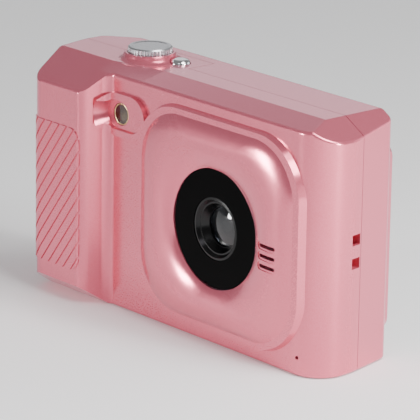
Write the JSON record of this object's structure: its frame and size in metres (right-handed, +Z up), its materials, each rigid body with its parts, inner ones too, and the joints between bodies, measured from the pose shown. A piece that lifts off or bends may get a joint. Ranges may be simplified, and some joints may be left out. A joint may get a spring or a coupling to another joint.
{
  "type": "compact digital camera",
  "caption": "Child's compact digital camera with a side hand grip, dished lens surround, flash, deck buttons, rear screen and keys, and a hinged battery door.",
  "frame": {"origin": "under the middle of the body, on the plane it stands on", "axes": "+X to the right seen from the front, front faces -Y, +Z up"},
  "size_m": [0.11, 0.0363, 0.0685],
  "materials": {
    "shell_paint": "pearlescent painted plastic, satin gloss",
    "gloss_black": "high gloss",
    "satin_black": "satin",
    "matte_black": "matte",
    "lens_glass": "coated, polished",
    "filter_glass": "blue-green infrared filter",
    "sensor_silicon": "polished",
    "circuit_board": "solder mask",
    "clear_window": "clear moulded",
    "reflector_chrome": "vacuum metallised",
    "led_yellow": "phosphor",
    "speaker_metal": "satin",
    "foam": "foam",
    "chip_black": "moulded epoxy",
    "screw_steel": "zinc plated",
    "key_plastic": "satin",
    "switch_metal": "stamped",
    "lamp_diffuser": "frosted",
    "screen_glass": "polished",
    "screen_black": "polished",
    "screen_steel": "stamped",
    "brushed_silver": "brushed top, knurled edge",
    "spring_steel": "bright wire",
    "chrome": "polished",
    "battery_wrap": "printed film with no lettering",
    "contact_gold": "gold plated",
    "card_black": "satin",
    "brass_insert": "turned"
  },
  "bodies": {
    "camera_body": {"front_shell": "shell_paint", "rear_shell": "shell_paint", "lens_panel": "gloss_black", "lens_ring": "satin_black", "lens_barrel": "matte_black", "front_lens": "lens_glass", "aperture_ring": "matte_black", "rear_lens": "lens_glass", "sensor_holder": "matte_black", "ir_filter": "filter_glass", "image_sensor": "sensor_silicon", "sensor_board": "circuit_board", "flash_window": "clear_window", "flash_reflector": "reflector_chrome", "flash_led": "led_yellow", "flash_board": "circuit_board", "speaker": "speaker_metal", "speaker_gasket": "foam", "microphone": "speaker_metal", "main_board": "circuit_board", "main_chips": "chip_black", "board_screws": "screw_steel", "deck_board": "circuit_board", "key_board": "circuit_board", "key_switches": "switch_metal", "status_lamp": "lamp_diffuser", "screen_window": "screen_glass", "screen_gasket": "foam", "screen_panel": "screen_black", "screen_tray": "screen_steel", "shutter_spring": "spring_steel", "deck_switches": "switch_metal", "battery": "battery_wrap", "battery_holder": "matte_black", "battery_contacts": "contact_gold", "card_board": "circuit_board", "card_socket": "screen_steel", "memory_card": "card_black", "door_pin": "screw_steel", "port_board": "circuit_board", "port_socket": "screen_steel", "tripod_socket": "brass_insert", "case_screws": "screw_steel"},
    "up_button": {"up_button": "key_plastic"},
    "down_button": {"down_button": "key_plastic"},
    "left_button": {"left_button": "key_plastic"},
    "right_button": {"right_button": "key_plastic"},
    "ok_button": {"ok_button": "key_plastic"},
    "mode_button": {"mode_button": "key_plastic"},
    "play_button": {"play_button": "key_plastic"},
    "menu_button": {"menu_button": "key_plastic"},
    "delete_button": {"delete_button": "key_plastic"},
    "zoom_out_button": {"zoom_out_button": "key_plastic"},
    "zoom_in_button": {"zoom_in_button": "key_plastic"},
    "shutter_button": {"shutter_button": "brushed_silver"},
    "power_button": {"power_button": "chrome"},
    "battery_door": {"battery_door": "shell_paint"},
    "port_cover": {"port_cover": "shell_paint"}
  },
  "joints": [
    {"name": "shutter_press", "type": "slide", "parent": "camera_body", "child": "shutter_button", "axis": [0, 0, -1], "range_m": [0, 0.0008], "stiffness_N_per_m": 700, "springref_m": -0.0006, "deforming": ["shutter_spring"]},
    {"name": "power_press", "type": "slide", "parent": "camera_body", "child": "power_button", "axis": [0, 0, -1], "range_m": [0, 0.0005], "stiffness_N_per_m": 900, "springref_m": -0.0004},
    {"name": "up_press", "type": "slide", "parent": "camera_body", "child": "up_button", "axis": [0, -1, 0], "range_m": [0, 0.0003], "stiffness_N_per_m": 900, "springref_m": -0.0003},
    {"name": "down_press", "type": "slide", "parent": "camera_body", "child": "down_button", "axis": [0, -1, 0], "range_m": [0, 0.0003], "stiffness_N_per_m": 900, "springref_m": -0.0003},
    {"name": "left_press", "type": "slide", "parent": "camera_body", "child": "left_button", "axis": [0, -1, 0], "range_m": [0, 0.0003], "stiffness_N_per_m": 900, "springref_m": -0.0003},
    {"name": "right_press", "type": "slide", "parent": "camera_body", "child": "right_button", "axis": [0, -1, 0], "range_m": [0, 0.0003], "stiffness_N_per_m": 900, "springref_m": -0.0003},
    {"name": "ok_press", "type": "slide", "parent": "camera_body", "child": "ok_button", "axis": [0, -1, 0], "range_m": [0, 0.0003], "stiffness_N_per_m": 900, "springref_m": -0.0003},
    {"name": "mode_press", "type": "slide", "parent": "camera_body", "child": "mode_button", "axis": [0, -1, 0], "range_m": [0, 0.0003], "stiffness_N_per_m": 900, "springref_m": -0.0003},
    {"name": "play_press", "type": "slide", "parent": "camera_body", "child": "play_button", "axis": [0, -1, 0], "range_m": [0, 0.0003], "stiffness_N_per_m": 900, "springref_m": -0.0003},
    {"name": "menu_press", "type": "slide", "parent": "camera_body", "child": "menu_button", "axis": [0, -1, 0], "range_m": [0, 0.0003], "stiffness_N_per_m": 900, "springref_m": -0.0003},
    {"name": "delete_press", "type": "slide", "parent": "camera_body", "child": "delete_button", "axis": [0, -1, 0], "range_m": [0, 0.0003], "stiffness_N_per_m": 900, "springref_m": -0.0003},
    {"name": "zoom_out_press", "type": "slide", "parent": "camera_body", "child": "zoom_out_button", "axis": [0, -1, 0], "range_m": [0, 0.0003], "stiffness_N_per_m": 900, "springref_m": -0.0003},
    {"name": "zoom_in_press", "type": "slide", "parent": "camera_body", "child": "zoom_in_button", "axis": [0, -1, 0], "range_m": [0, 0.0003], "stiffness_N_per_m": 900, "springref_m": -0.0003},
    {"name": "battery_door_hinge", "type": "hinge", "parent": "camera_body", "child": "battery_door", "pos_m": [-0.0487, -0.0035, 0.00145], "axis": [0, 1, 0], "range_deg": [0, 90]},
    {"name": "port_cover_hinge", "type": "hinge", "parent": "camera_body", "child": "port_cover", "pos_m": [-0.0531, -0.00308, 0.0431], "axis": [0.214, -0.9768, 0], "range_deg": [0, 100]}
  ]
}
